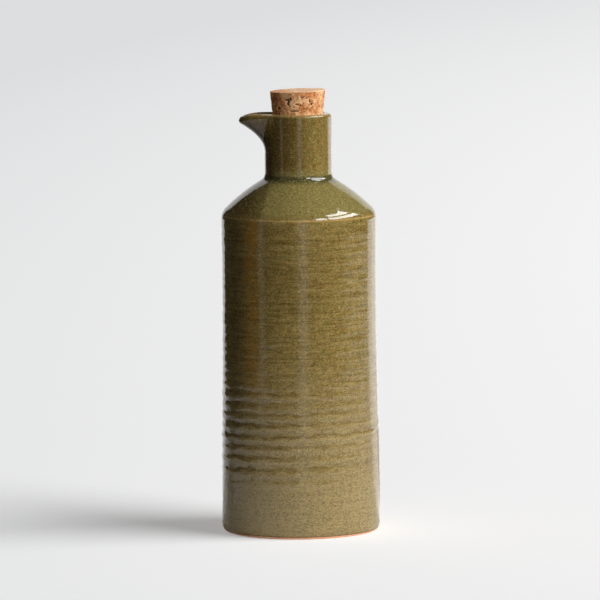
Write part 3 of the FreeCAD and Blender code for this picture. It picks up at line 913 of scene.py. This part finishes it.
def table_wedge(name, first, last, reach, finish):
    """Part of the table top between two directions from the pot. A nearer one lies on top."""
    below = -WEDGE_DROP - WEDGE_DROP_PER_REACH * reach
    middle = (first + last) / 2
    far = [round_the_pot(azimuth, reach, below) for azimuth in (first, middle, last)]
    mesh = bpy.data.meshes.new(name)
    mesh.from_pydata([(0, 0, below)] + far, [], [(0, 1, 2, 3)])
    wedge = bpy.data.objects.new(name, mesh)
    bpy.context.collection.objects.link(wedge)
    mesh.materials.append(finish)
    return wedge


def group(name, pieces):
    """Pieces for a light to fall on."""
    pile = bpy.data.collections.new(name)
    for piece in pieces:
        pile.objects.link(piece)
    return pile


def sun(name, lit, azimuth, elevation, strength, softness):
    """Far soft light that falls on one group alone."""
    light = bpy.data.lights.new(name, "SUN")
    light.energy = strength
    light.angle = math.radians(softness)
    stand = bpy.data.objects.new(name, light)
    bpy.context.collection.objects.link(stand)
    stand.rotation_euler = (math.radians(90 - elevation), 0, math.radians(azimuth))
    stand.light_linking.receiver_collection = lit
    return stand


# The floor is for the camera alone. The sheets just below it send its light back to the pot.
floor = card("floor", (FLOOR_SIZE, FLOOR_SIZE), FLOOR_PLACE, LEVEL, floor_paper())
floor.visible_glossy = False
floor.visible_diffuse = False
floor.visible_shadow = False

dull_paper = plain_finish("dull_paper", (0.75, 0.74, 0.72, 1))
bounce = card("table_top", TABLE_SIZE, TABLE_PLACE, LEVEL, dull_paper)
bounce.visible_camera = False
bounce.visible_shadow = False
bounce.visible_glossy = False

pale_paper = plain_finish("pale_paper", (0.8, 0.81, 0.82, 1))
table = card("table_reflection", TABLE_SIZE, GLOSSY_TABLE_PLACE, LEVEL, pale_paper)
only_in_gloss(table)

backdrop_glow = plain_finish("backdrop_glow", BLACK, BACKDROP_GLOW)
only_in_gloss(card("backdrop", BACKDROP_SIZE, BACKDROP_PLACE, UPRIGHT, backdrop_glow))

for number, (first, last, reach, glow) in enumerate(TABLE_LIGHT):
    finish = plain_finish(f"table_light_{number}", BLACK, glow)
    only_in_gloss(table_wedge(f"table_glow_{number}", first, last, reach, finish))

for number, (azimuth, width, glow) in enumerate(STRIPS):
    name, size = f"strip_reflection_{number}", (width, STRIP_LENGTH)
    place = round_the_pot(azimuth, STRIP_DISTANCE, STRIP_MIDDLE)
    finish = fading_glow(f"strip_glow_{number}", glow)
    only_in_gloss(card(name, size, place, (90, 0, azimuth), finish))

pane_glow = plain_finish("window_glow", BLACK, WINDOW_GLOW)
for number, (first, last, lowest, highest) in enumerate(PANES):
    low, high = (WINDOW_DISTANCE * math.tan(math.radians(angle)) for angle in (lowest, highest))
    wide = 2 * WINDOW_DISTANCE * math.tan(math.radians((last - first) / 2))
    azimuth = (first + last) / 2
    name, size = f"window_pane_{number}", (wide, high - low)
    place = round_the_pot(azimuth, WINDOW_DISTANCE, (low + high) / 2)
    only_in_gloss(card(name, size, place, (90, 0, azimuth), pane_glow))

# The window's light is set apart for the pot and for the floor. The light that comes back from
# the walls falls on the pot alone.
on_pot = group("lit_by_the_room", (pot, cork, bounce, table))
on_floor = group("lit_floor", (floor,))
window_light = sun("window_light", on_pot, *WINDOW_LIGHT)
walls = [sun(f"wall_light_{number}", on_pot, *light) for number, light in enumerate(WALL_LIGHTS)]
for lamp in (window_light, *walls):
    lamp.visible_glossy = False
sun("floor_light", on_floor, *FLOOR_LIGHT)

# The room's own light is dim. Past the floor's edge the camera sees a pale wall.
world = bpy.data.worlds.new("room")
bpy.context.scene.world = world
world.use_nodes = True
room = world.node_tree
seen = Flow(room.nodes.new("ShaderNodeLightPath").outputs["Is Camera Ray"])
colour = seen.tint(DIM_ROOM, PALE_WALL)
room.links.new(colour.socket, room.nodes["Background"].inputs["Color"])

lens = bpy.data.cameras.new("camera")
lens.lens = LENS
lens.sensor_width = SENSOR
lens.clip_end = 100
view = bpy.data.objects.new("camera", lens)
bpy.context.collection.objects.link(view)
back = CAMERA_DISTANCE * math.cos(CAMERA_TILT)
up = CAMERA_DISTANCE * math.sin(CAMERA_TILT)
stand = Matrix.Translation((CAMERA_AIM[0] * MM, -back, CAMERA_AIM[1] * MM + up))
tilt = Matrix.Rotation(math.pi / 2 - CAMERA_TILT, 4, "X")
view.matrix_world = stand @ tilt @ Matrix.Rotation(CAMERA_LEAN, 4, "Z")
bpy.context.scene.camera = view

bpy.context.scene.view_settings.view_transform = "Standard"
